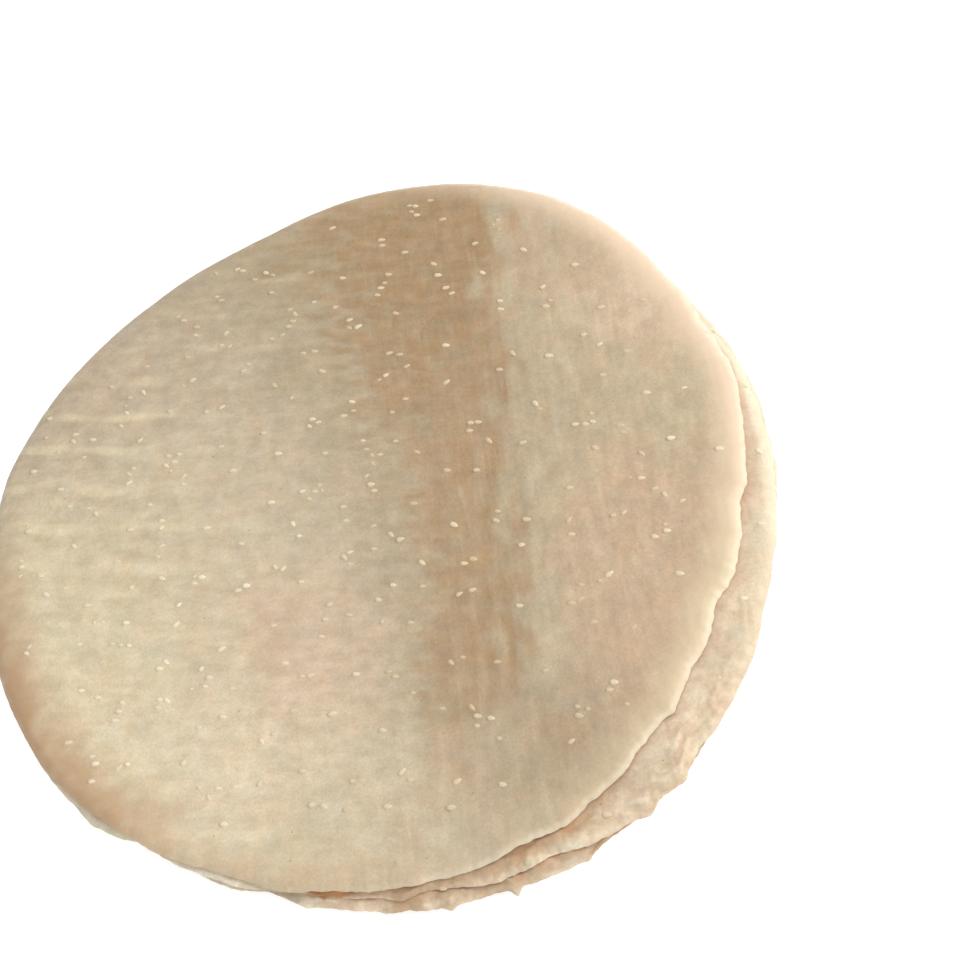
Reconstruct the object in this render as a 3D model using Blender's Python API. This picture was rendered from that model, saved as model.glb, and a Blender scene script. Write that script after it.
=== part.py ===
"""A stack of four round coconut rice paper sheets, lying flat.

Each sheet is a thin, slightly lobed disc whose upper face rolls down to a thin
rim. The second and third sheets from the top lie nearly rim on rim, pulled to
the front right, so a crescent of them shows past the top sheet, whose opposite
side sticks out over them and hangs down a little. The bottom sheet lies nearly
under the top one and peeps out at the front left. Sesame seeds are pressed into
the top sheet and into the part of the second sheet that shows.

Metres, +Z up. X runs to the right, Y to the back.
"""

import math
import random

import bmesh
import bpy
from mathutils import Matrix, Vector

# ------------------------------------------------------------ dimensions
TOP_RADIUS = 0.1707           # mean radii: the sheets are about 340 mm across
SECOND_RADIUS = 0.1664
THIRD_RADIUS = 0.1673
BOTTOM_RADIUS = 0.1649
SHEET_THICKNESS = 0.0020
EDGE_THICKNESS = 0.0010       # the upper face rolls down to this at the rim
ROLL_WIDTH = 0.0060           # and starts to do so this far inside it
RIM_ROUNDING = 0.0005         # how far the faces stop short of the rim
RIM_SEGMENTS = 80

# Lobes of an outline: (waves per turn, height, direction of a crest in degrees)
TOP_LOBES = (
    (1, 0.0009, 111.0), (2, 0.0020, 5.0), (3, 0.0044, 37.0), (4, 0.0006, -37.0), (5, 0.0013, -17.0),
)
SECOND_LOBES = ((2, 0.0021, -66.0), (3, 0.0025, -57.0), (5, 0.0022, -3.0))
THIRD_LOBES = ((2, 0.0016, -76.0), (3, 0.0016, 40.0), (5, 0.0014, -9.0))
BOTTOM_LOBES = ((2, 0.0019, 5.0), (3, 0.0018, -43.0), (5, 0.0017, -22.0))

# Rim frill in plan: two trains of short waves, strongest at the front right
FRILL_HEIGHT = 0.0006
FRILL_WAVES = (17, 23)
FRILL_MIDDLE = math.radians(-55.0)

# Centres of the sheets, measured from the top sheet's centre
SECOND_OFFSET = (0.0085, -0.0130)
THIRD_OFFSET = (0.0088, -0.0134)
BOTTOM_OFFSET = (-0.0030, -0.0010)

# Heights of the sheets' undersides
BOTTOM_BASE = 0.0
THIRD_BASE = 0.0026
SECOND_BASE = 0.0052
TOP_BASE = 0.0080

# Long waves of the faces: the stack lies flat and each sheet up is wavier
WARP_HEIGHTS = (0.0, 0.00015, 0.00035, 0.0007)
WARP_LENGTHS = (0.210, 0.165, 0.260)
WARP_DIRECTIONS = (68.0, -22.0, 15.0)

# Rims that lie free, at the front right, stand up here and there
RIPPLE_WIDTH = 0.014
RIPPLE_HEIGHTS = (0.0, 0.0002, 0.0007, 0.0006)
RIPPLE_WAVES = 13
RIPPLE_MIDDLE = math.radians(-48.0)

# The top sheet's unsupported side hangs down
DROOP_HEIGHT = 0.0036
DROOP_OVERHANG = 0.018        # overhang that droops in full
DROOP_START = 0.004           # how far inside the support it starts

# Sesame seeds
SEED_LENGTH = 0.0032
SEED_WIDTH = 0.0021
SEED_HEIGHT = 0.0012
SEED_RISE = 0.0001            # height of a seed's middle over the face
SEED_COUNT = 172
SEED_RIM_MARGIN = 0.0145
SEED_SHIFT = 0.009            # how far a seed may lie from its place in the spiral
SEED_TURN = -27.0             # most seeds point about this way
CRESCENT_SEEDS = 10
CRESCENT_START = -104.0       # degrees, seen from the top sheet's centre
CRESCENT_END = 4.0
GOLDEN_ANGLE = math.radians(137.508)
SEED_RANDOM = 41

# Rings of a face: (share of the radius, points)
TOP_RINGS = ((0.15, 20), (0.32, 40), (0.50, 40), (0.68, 80), (0.82, 80), (0.91, 80), (0.965, 80), (0.987, 80))
TOP_UNDER_RINGS = ((0.32, 20), (0.60, 40), (0.80, 80), (0.91, 80), (0.965, 80))
LOWER_RINGS = ((0.40, 20), (0.75, 40), (0.90, 80), (0.965, 80), (0.987, 80))
LOWER_UNDER_RINGS = ((0.40, 20), (0.75, 40), (0.92, 80))


def clear_scene():
    for item in list(bpy.data.objects):
        bpy.data.objects.remove(item, do_unlink=True)


def make_material(name, colour, roughness):
    material = bpy.data.materials.new(name)
    material.use_nodes = True
    shader = material.node_tree.nodes["Principled BSDF"]
    shader.inputs["Base Color"].default_value = (*colour, 1.0)
    shader.inputs["Roughness"].default_value = roughness
    shader.inputs["Metallic"].default_value = 0.0
    return material


def smooth(value):
    value = min(1.0, max(0.0, value))
    return value * value * (3.0 - 2.0 * value)


def frill(angle, shift):
    """Short plan waves of a rim, fading towards the back left."""
    share = 0.25 + 0.75 * smooth(0.5 + 0.75 * math.cos(angle - FRILL_MIDDLE))
    first = math.sin(FRILL_WAVES[0] * angle + shift)
    second = math.sin(FRILL_WAVES[1] * angle + 2.3 * shift)
    return FRILL_HEIGHT * share * (0.6 * first + 0.4 * second)


class Sheet:
    """One sheet: its outline, and the height of its faces at any point."""

    def __init__(self, index, base, radius, offset, lobes, shift):
        self.base = base
        self.radius = radius
        self.offset = offset
        self.lobes = lobes
        self.shift = shift
        self.warp = WARP_HEIGHTS[index]
        self.ripple = RIPPLE_HEIGHTS[index]
        self.support = None

    def rim(self, angle):
        radius = self.radius + frill(angle, self.shift)
        for waves, height, crest in self.lobes:
            radius += height * math.cos(waves * (angle - math.radians(crest)))
        return radius

    def overhang(self, angle):
        """How far this rim sticks out past the sheet below."""
        dx = self.support.offset[0] - self.offset[0]
        dy = self.support.offset[1] - self.offset[1]
        reach = math.hypot(dx, dy) * math.cos(angle - math.atan2(dy, dx))
        return self.rim(angle) - self.support.rim(angle) - reach

    def underside(self, angle, radius):
        """Height of the lower face at a point round this sheet's centre."""
        x = self.offset[0] + radius * math.cos(angle)
        y = self.offset[1] + radius * math.sin(angle)
        wave = 0.0
        for length, direction in zip(WARP_LENGTHS, WARP_DIRECTIONS):
            along = x * math.cos(math.radians(direction)) + y * math.sin(math.radians(direction))
            wave += math.sin(2.0 * math.pi * along / length + direction) / len(WARP_LENGTHS)
        height = self.base + self.warp * wave
        inside = self.rim(angle) - radius
        free = smooth(0.5 + 0.9 * math.cos(angle - RIPPLE_MIDDLE))
        ripple = 0.5 + 0.5 * math.sin(RIPPLE_WAVES * angle + self.shift)
        height += self.ripple * free * ripple * max(0.0, 1.0 - inside / RIPPLE_WIDTH) ** 2
        if self.support:
            over = max(0.0, self.overhang(angle))
            reach = over + DROOP_START
            fall = DROOP_HEIGHT * smooth(over / DROOP_OVERHANG)
            height -= fall * max(0.0, 1.0 - inside / reach) ** 2
        return height

    def upper(self, angle, radius):
        """Height of the upper face: it rolls down to the rim in a quarter of an oval."""
        share = min(1.0, max(0.0, (self.rim(angle) - radius) / ROLL_WIDTH))
        full = math.sqrt(1.0 - (1.0 - share) ** 2)
        return self.underside(angle, radius) + EDGE_THICKNESS + (SHEET_THICKNESS - EDGE_THICKNESS) * full


def add_ring(mesh, sheet, share, count, face):
    """A ring of vertices at a share of the rim's radius, on one of the sheet's faces."""
    ring = []
    for step in range(count):
        angle = 2.0 * math.pi * step / count
        radius = share * (sheet.rim(angle) - RIM_ROUNDING)
        ring.append(mesh.verts.new(polar(sheet, angle, radius, face(angle, radius))))
    return ring


def polar(sheet, angle, radius, height):
    return (
        sheet.offset[0] + radius * math.cos(angle),
        sheet.offset[1] + radius * math.sin(angle),
        height,
    )


def join_rings(mesh, inner, outer, upward):
    """Triangles between two rings with the same number of points, or half as many."""
    faces = []
    count = len(inner)
    for step in range(count):
        a = inner[step]
        b = inner[(step + 1) % count]
        if len(outer) == count:
            c = outer[step]
            d = outer[(step + 1) % count]
            faces += [(a, c, d), (a, d, b)]
        else:
            c = outer[2 * step]
            d = outer[2 * step + 1]
            e = outer[(2 * step + 2) % len(outer)]
            faces += [(a, c, d), (a, d, b), (b, d, e)]
    for face in faces:
        mesh.faces.new(face if upward else face[::-1])


def add_face_side(mesh, sheet, rings, face, upward):
    """One face of the sheet, from a middle point out to its last ring."""
    middle = mesh.verts.new(polar(sheet, 0.0, 0.0, face(0.0, 0.0)))
    made = [add_ring(mesh, sheet, share, count, face) for share, count in rings]
    made.append(add_ring(mesh, sheet, 1.0, RIM_SEGMENTS, face))
    first = made[0]
    for step in range(len(first)):
        corners = (middle, first[step], first[(step + 1) % len(first)])
        mesh.faces.new(corners if upward else corners[::-1])
    for inner, outer in zip(made, made[1:]):
        join_rings(mesh, inner, outer, upward)
    return made[-1]


def build_sheet(name, sheet, rings, under_rings, material):
    mesh = bmesh.new()
    upper = add_face_side(mesh, sheet, rings, sheet.upper, True)
    lower = add_face_side(mesh, sheet, under_rings, sheet.underside, False)
    edge = []
    for step in range(RIM_SEGMENTS):
        angle = 2.0 * math.pi * step / RIM_SEGMENTS
        radius = sheet.rim(angle)
        height = sheet.underside(angle, radius) + 0.5 * EDGE_THICKNESS
        edge.append(mesh.verts.new(polar(sheet, angle, radius, height)))
    join_rings(mesh, upper, edge, True)
    join_rings(mesh, edge, lower, True)
    data = bpy.data.meshes.new(name)
    mesh.to_mesh(data)
    mesh.free()
    data.shade_smooth()
    data.set_sharp_from_angle(angle=math.radians(50.0))
    data.materials.append(material)
    item = bpy.data.objects.new(name, data)
    bpy.context.scene.collection.objects.link(item)
    return item


def seed_mesh():
    """A flattened drop along X, one end narrower, in a box one unit across."""
    mesh = bmesh.new()
    bmesh.ops.create_uvsphere(mesh, u_segments=6, v_segments=3, radius=0.5)
    bmesh.ops.rotate(mesh, verts=mesh.verts, matrix=Matrix.Rotation(math.radians(90.0), 3, "Y"))
    for vert in mesh.verts:
        vert.co.y *= 1.0 - 0.35 * vert.co.x / 0.5
    bmesh.ops.triangulate(mesh, faces=mesh.faces)
    data = bpy.data.meshes.new("seed")
    mesh.to_mesh(data)
    mesh.free()
    return data


def place_seed(group, data, sheet, x, y, turn, size):
    dx = x - sheet.offset[0]
    dy = y - sheet.offset[1]
    height = sheet.upper(math.atan2(dy, dx), math.hypot(dx, dy))
    item = bpy.data.objects.new("seed", data)
    item.location = (x, y, height + SEED_RISE)
    item.rotation_euler = (0.0, 0.0, turn)
    item.scale = (SEED_LENGTH * size, SEED_WIDTH * size, SEED_HEIGHT * size)
    group.objects.link(item)


def seed_turn(draw):
    """A seed's direction: any, but most often about SEED_TURN."""
    return math.radians(SEED_TURN) + 0.5 * math.pi * draw.uniform(-1.0, 1.0) ** 3


def scatter_top(group, data, sheet, draw):
    """Seeds spread evenly along a golden spiral, each moved a little."""
    for step in range(SEED_COUNT):
        spread = math.sqrt((step + 0.5) / SEED_COUNT)
        angle = step * GOLDEN_ANGLE
        radius = spread * (sheet.rim(angle) - SEED_RIM_MARGIN)
        shift = draw.uniform(0.0, SEED_SHIFT)
        turn = draw.uniform(0.0, 2.0 * math.pi)
        x = sheet.offset[0] + radius * math.cos(angle) + shift * math.cos(turn)
        y = sheet.offset[1] + radius * math.sin(angle) + shift * math.sin(turn)
        place_seed(group, data, sheet, x, y, seed_turn(draw), draw.uniform(0.88, 1.12))


def scatter_crescent(group, data, sheet, above, draw):
    """Seeds on the strip of a sheet that the sheet above leaves open."""
    for step in range(CRESCENT_SEEDS):
        share = (step + 0.5) / CRESCENT_SEEDS
        angle = math.radians(CRESCENT_START + share * (CRESCENT_END - CRESCENT_START))
        open_width = -above.overhang(angle)
        radius = above.rim(angle) + open_width * draw.uniform(0.45, 0.62)
        x = above.offset[0] + radius * math.cos(angle)
        y = above.offset[1] + radius * math.sin(angle)
        place_seed(group, data, sheet, x, y, seed_turn(draw), draw.uniform(0.85, 1.0))


def fuse(item, group):
    """Join a group's seeds to their sheet and take the seeds away."""
    join = item.modifiers.new("seeds", "BOOLEAN")
    join.operation = "UNION"
    join.operand_type = "COLLECTION"
    join.collection = group
    join.solver = "EXACT"
    bpy.context.view_layer.objects.active = item
    bpy.ops.object.modifier_apply(modifier=join.name)
    for seed in list(group.objects):
        bpy.data.objects.remove(seed, do_unlink=True)
    bpy.data.collections.remove(group)


def seed_group(name):
    group = bpy.data.collections.new(name)
    bpy.context.scene.collection.children.link(group)
    return group


def centre_on_floor(items):
    """Move the stack so that the middle of its footprint is the origin, at floor level."""
    bpy.context.view_layer.update()
    points = [item.matrix_world @ vert.co for item in items for vert in item.data.vertices]
    low = Vector([min(point[axis] for point in points) for axis in range(3)])
    high = Vector([max(point[axis] for point in points) for axis in range(3)])
    for item in items:
        item.location -= Vector(((low.x + high.x) / 2.0, (low.y + high.y) / 2.0, low.z))


def main():
    clear_scene()
    cream = make_material("rice_sheet_cream", (0.62, 0.50, 0.33), 0.62)
    pale = make_material("rice_sheet_pale", (0.70, 0.56, 0.38), 0.62)
    deep = make_material("rice_sheet_deep", (0.60, 0.47, 0.31), 0.64)
    shade = make_material("rice_sheet_shade", (0.56, 0.44, 0.29), 0.64)

    bottom = Sheet(0, BOTTOM_BASE, BOTTOM_RADIUS, BOTTOM_OFFSET, BOTTOM_LOBES, 0.7)
    third = Sheet(1, THIRD_BASE, THIRD_RADIUS, THIRD_OFFSET, THIRD_LOBES, 2.1)
    second = Sheet(2, SECOND_BASE, SECOND_RADIUS, SECOND_OFFSET, SECOND_LOBES, 4.0)
    top = Sheet(3, TOP_BASE, TOP_RADIUS, (0.0, 0.0), TOP_LOBES, 5.2)
    top.support = second

    items = [
        build_sheet("bottom_sheet", bottom, LOWER_RINGS, LOWER_UNDER_RINGS, shade),
        build_sheet("third_sheet", third, LOWER_RINGS, LOWER_UNDER_RINGS, deep),
        build_sheet("second_sheet", second, LOWER_RINGS, LOWER_UNDER_RINGS, pale),
        build_sheet("top_sheet", top, TOP_RINGS, TOP_UNDER_RINGS, cream),
    ]

    draw = random.Random(SEED_RANDOM)
    data = seed_mesh()
    crescent = seed_group("crescent_seeds")
    scatter_crescent(crescent, data, second, top, draw)
    fuse(items[2], crescent)
    scattered = seed_group("top_seeds")
    scatter_top(scattered, data, top, draw)
    fuse(items[3], scattered)
    bpy.data.meshes.remove(data)
    centre_on_floor(items)


main()
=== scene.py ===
"""Looks of the stack of coconut rice paper sheets.

Each CAD sheet is replaced by a fine mesh with the same outline: soft rolled
rims with a frill, and the drying rack's ribs pressed into the faces. All the
sesame seeds are one more mesh. Metres, +Z up, in the CAD's frame.
"""

import math
import random

import bpy
import numpy as np
from mathutils import Matrix, Vector


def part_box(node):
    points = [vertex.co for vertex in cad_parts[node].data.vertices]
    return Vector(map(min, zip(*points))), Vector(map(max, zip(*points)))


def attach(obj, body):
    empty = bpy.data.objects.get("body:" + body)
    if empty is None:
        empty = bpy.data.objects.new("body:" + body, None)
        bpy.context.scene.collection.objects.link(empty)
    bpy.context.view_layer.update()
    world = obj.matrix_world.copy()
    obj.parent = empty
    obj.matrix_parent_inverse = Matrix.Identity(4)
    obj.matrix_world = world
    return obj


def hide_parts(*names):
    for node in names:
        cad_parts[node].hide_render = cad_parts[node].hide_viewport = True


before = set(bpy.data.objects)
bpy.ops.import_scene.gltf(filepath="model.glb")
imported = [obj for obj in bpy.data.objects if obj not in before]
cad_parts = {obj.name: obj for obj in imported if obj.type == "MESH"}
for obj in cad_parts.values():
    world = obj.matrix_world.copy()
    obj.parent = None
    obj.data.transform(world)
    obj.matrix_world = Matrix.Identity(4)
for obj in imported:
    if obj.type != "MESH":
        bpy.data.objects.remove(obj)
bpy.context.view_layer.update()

# ---- the sheets, as in the CAD
TOP_RADIUS = 0.1707
SECOND_RADIUS = 0.1664
THIRD_RADIUS = 0.1673
BOTTOM_RADIUS = 0.1649
# Lobes of an outline: (waves per turn, height, direction of a crest in degrees)
TOP_LOBES = (
    (1, 0.0009, 111.0), (2, 0.0020, 5.0), (3, 0.0044, 37.0), (4, 0.0006, -37.0), (5, 0.0013, -17.0),
)
SECOND_LOBES = ((2, 0.0021, -66.0), (3, 0.0025, -57.0), (5, 0.0022, -3.0))
THIRD_LOBES = ((2, 0.0016, -76.0), (3, 0.0016, 40.0), (5, 0.0014, -9.0))
BOTTOM_LOBES = ((2, 0.0019, 5.0), (3, 0.0018, -43.0), (5, 0.0017, -22.0))
FRILL_HEIGHT = 0.0006
FRILL_WAVES = (17, 23)
FRILL_MIDDLE = math.radians(-55.0)
SECOND_OFFSET = (0.0085, -0.0130)
THIRD_OFFSET = (0.0088, -0.0134)
BOTTOM_OFFSET = (-0.0030, -0.0010)
WARP_HEIGHTS = (0.0, 0.00015, 0.00035, 0.0007)
WARP_LENGTHS = (0.210, 0.165, 0.260)
WARP_DIRECTIONS = (68.0, -22.0, 15.0)
DROOP_HEIGHT = 0.0036
DROOP_OVERHANG = 0.018
DROOP_START = 0.004

# ---- sizes of the fine shape
PITCH = 0.00262               # one sheet's underside to the next one's
THICKNESS = 0.00248           # sheets lie on each other, so they fill the pitch
EDGE_THICKNESS = 0.0007       # at the very rim
ROLL_WIDTHS = (0.0055, 0.0055, 0.0060, 0.0050)   # a sheet's upper face rolls down over this width
WIDE_ROLL = 1.4               # and over this much more at the right of the top sheet
ROW_TURN = math.radians(-31.0)
# Imprint of the drying rack: rows at the top sheet's left, finer columns at its right.
# Direction, rib distance, side, and strength of the short streaks
RIBS = ((ROW_TURN, 0.0196, -1.0, 0.75), (math.radians(74.0), 0.0094, 1.0, 0.45))
ROWS_PLACE = (-0.116, 0.062)  # where the rows are deepest
ROWS_HALF = (0.046, 0.062)
ROW_HEIGHT = 0.00024
COLUMN_HEIGHT = 0.00007
LUMP_HEIGHT = 0.00022
CRUST_HEIGHT = 0.00022        # fine bumps beside a rim
WRINKLE_HEIGHT = 0.00055      # wrinkles along the rims of the lower sheets
RUFFLE_HEIGHTS = (0.0, 0.0006, 0.0007, 0.0003)
STRIP_WIDTHS = (0.013, 0.013, 0.013, 0.020)   # the pale strip along a rim, a painted highlight on the paler thin edge
RIM_SINK = 0.00014            # a rim settles onto the sheet below
SEED_REACH = 0.006            # no seed lifts the skin farther away than this
LIT_MIDDLE = math.radians(-12.0)   # the side the light comes from, where the rims get painted highlights
RIM_ZONE = 0.0095             # the rings of a mesh are closest together in this strip
RIM_POINTS = 1440
FACE_STEP = 0.00135           # from ring to ring on the top sheet
FRINGE_WIDTH = 0.034          # the part of a lower sheet that can show
FRINGE_STEP = 0.00110
HIDDEN_STEP = 0.0080
UNDERSIDE_RINGS = 9           # an underside has every ninth ring

# Small waves of every rim: (waves per turn, height, row of the noise)
RIM_WAVES = ((46, 0.0005, 0), (110, 0.0005, 1), (260, 0.0004, 2), (500, 0.0002, 5))
# Single scallops of a rim: (direction in degrees, height, half width in degrees)
TOP_SCALLOPS = (
    (-122.0, 0.0009, 3.5), (-99.0, -0.0007, 3.5), (-88.0, -0.0013, 3.0), (-82.0, 0.0018, 2.2),
    (-62.0, 0.0022, 1.8), (-56.0, -0.0022, 1.8), (-46.5, -0.0020, 2.4), (-41.0, 0.0006, 2.0),
    (-31.0, -0.0020, 2.4), (-18.0, 0.0011, 7.0), (-7.0, 0.0014, 5.0), (11.0, -0.0014, 7.0),
    (37.0, 0.0012, 8.0), (86.0, -0.0013, 9.0), (104.0, 0.0014, 9.0), (147.0, 0.0018, 7.0),
)
SECOND_SCALLOPS = (
    (-108.0, 0.0018, 2.8), (-88.0, -0.0020, 3.8), (-74.6, 0.0030, 1.5), (-69.2, 0.0020, 1.6),
    (-64.5, -0.0012, 2.2), (-19.0, 0.0008, 5.0),
)
THIRD_SCALLOPS = (
    (-127.0, -0.0022, 3.0), (-121.0, 0.0006, 2.0), (-109.7, 0.0010, 2.0), (-101.8, 0.0020, 0.7),
    (-95.4, 0.0005, 1.0), (-93.5, 0.0034, 0.6), (-84.0, 0.0012, 1.2), (-80.0, -0.0006, 2.0),
    (-12.0, 0.0012, 4.0),
)
BOTTOM_SCALLOPS = ((-151.0, 0.0018, 3.2), (-142.5, -0.0022, 2.6), (-128.0, -0.0014, 6.0))
# Places where a rim stands up from the sheet below: (direction, height, half width)
TOP_LIFTS = ((-112.0, 0.0008, 3.0), (-102.0, 0.0009, 2.0), (-88.5, 0.0012, 5.0), (-62.0, 0.0005, 2.0))
SECOND_LIFTS = ((-98.0, 0.0007, 3.0), (-74.6, 0.0010, 2.5), (-24.0, 0.0008, 9.0))
THIRD_LIFTS = ((-118.0, 0.0008, 3.0), (-101.8, 0.0010, 2.0), (-93.5, 0.0009, 2.0), (-84.0, 0.0006, 2.0))

# ---- sesame seeds, as in the CAD
SEED_LENGTH = 0.0038          # a little more than in the CAD, because the skin covers their edges
SEED_WIDTH = 0.0022
SEED_HEIGHT = 0.0012
SEED_COUNT = 172
SEED_RIM_MARGIN = 0.0145
SEED_SHIFT = 0.009
SEED_TURN = -27.0             # most seeds point about this way
CRESCENT_SEEDS = 10
CRESCENT_START = -104.0
CRESCENT_END = 4.0
GOLDEN_ANGLE = math.radians(137.508)
SEED_RANDOM = 41
EXTRA_SEEDS = 165             # the smaller ones, many in twos and threes
EXTRA_RANDOM = 7
SEED_APART = 0.0031
MATE_REACH = 0.0052           # seeds in twos and threes are at most this far apart
EXTRA_RIM_MARGIN = 0.006
SEED_MOUND = 0.00030          # the skin of the sheet rises round a seed
SEED_MOUND_WIDTH = 0.0017

# ---- camera: the photo's view
LENS_MM = 50.0
SENSOR_MM = 36.0
CAMERA_ELEVATION = math.radians(58.39)
CAMERA_ROLL = math.radians(-26.08)
CENTRE_RIGHT = -0.0558        # the top sheet's centre as the camera sees it
CENTRE_DOWN = 0.0055
CENTRE_AHEAD = 0.5794

# ---- lights and floor
# Name, azimuth, elevation, distance, size, power and colour of each light
LIGHTS = (
    ("key", 86.0, 36.0, 1.6, 1.0, 26.0, (1.0, 0.98, 0.94)),
    ("back", 165.0, 50.0, 1.8, 1.4, 10.0, (1.0, 0.99, 0.98)),
    ("fill", -20.0, 28.0, 1.7, 1.4, 15.0, (1.0, 0.99, 0.97)),
)
SKY_COLOUR = (0.97, 0.98, 1.0, 1.0)
SKY_STRENGTH = 0.55
LIGHT_GAIN = 1.525            # how much brighter the lights show a surface than its own colour
FLOOR_HALF = 4.0
FLOOR_DROP = 0.0002           # the floor lies this much below the stack
FLOOR_COLOUR = (0.70, 0.70, 0.71, 1.0)
FLOOR_GLOW = 0.50


def seen(red, green, blue):
    """The surface colour that the lights show as this screen colour, 0 to 255."""
    out = []
    for part in (red, green, blue):
        part /= 255.0
        linear = part / 12.92 if part <= 0.04045 else ((part + 0.055) / 1.055) ** 2.4
        out.append(linear / LIGHT_GAIN)
    return (*out, 1.0)


def smooth(value):
    value = np.clip(value, 0.0, 1.0)
    return value * value * (3.0 - 2.0 * value)


class Noise:
    """Smooth noise over the plane, about -1 to 1, one lump to a unit."""

    SIZE = 128

    def __init__(self, seed):
        turns = np.random.default_rng(seed).uniform(0.0, 2.0 * np.pi, (self.SIZE, self.SIZE))
        self.slopes = np.stack([np.cos(turns), np.sin(turns)])

    def corner(self, column, row, dx, dy):
        slope = self.slopes[:, column % self.SIZE, row % self.SIZE]
        return slope[0] * dx + slope[1] * dy

    def __call__(self, x, y):
        column = np.floor(x).astype(int)
        row = np.floor(y).astype(int)
        dx = x - column
        dy = y - row
        ease_x = dx ** 3 * (dx * (dx * 6.0 - 15.0) + 10.0)
        ease_y = dy ** 3 * (dy * (dy * 6.0 - 15.0) + 10.0)
        near = self.corner(column, row, dx, dy)
        near += ease_x * (self.corner(column + 1, row, dx - 1.0, dy) - near)
        far = self.corner(column, row + 1, dx, dy - 1.0)
        far += ease_x * (self.corner(column + 1, row + 1, dx - 1.0, dy - 1.0) - far)
        return 1.5 * (near + ease_y * (far - near))


def ring_noise(noise, angle, waves, row):
    """Noise along a closed rim: it runs round a circle of the noise plane."""
    reach = waves / (2.0 * math.pi)
    return noise(40.0 + reach * np.cos(angle), 40.0 + 9.0 * row + reach * np.sin(angle))


def from_crest(angle, crest, half):
    """How far a direction is from a crest, in half widths."""
    return np.abs((np.degrees(angle) - crest + 180.0) % 360.0 - 180.0) / half


def about(angle, crest, half, reach=1.5):
    """1 round a crest, and 0 from reach half widths away from it."""
    return smooth(reach - from_crest(angle, crest, half))


def front(angle):
    """1 at the front right rim, 0 at the back."""
    return smooth(0.45 + 0.75 * np.cos(angle - FRILL_MIDDLE))


def folded(angle):
    """1 along the front, where the lower rims are wrinkled, little elsewhere."""
    return 0.15 + 0.85 * about(angle, -86.0, 38.0)


def lit(angle):
    """1 at the right rim, 0 at the left."""
    return smooth(0.42 + 0.80 * np.cos(angle - LIT_MIDDLE))


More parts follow.
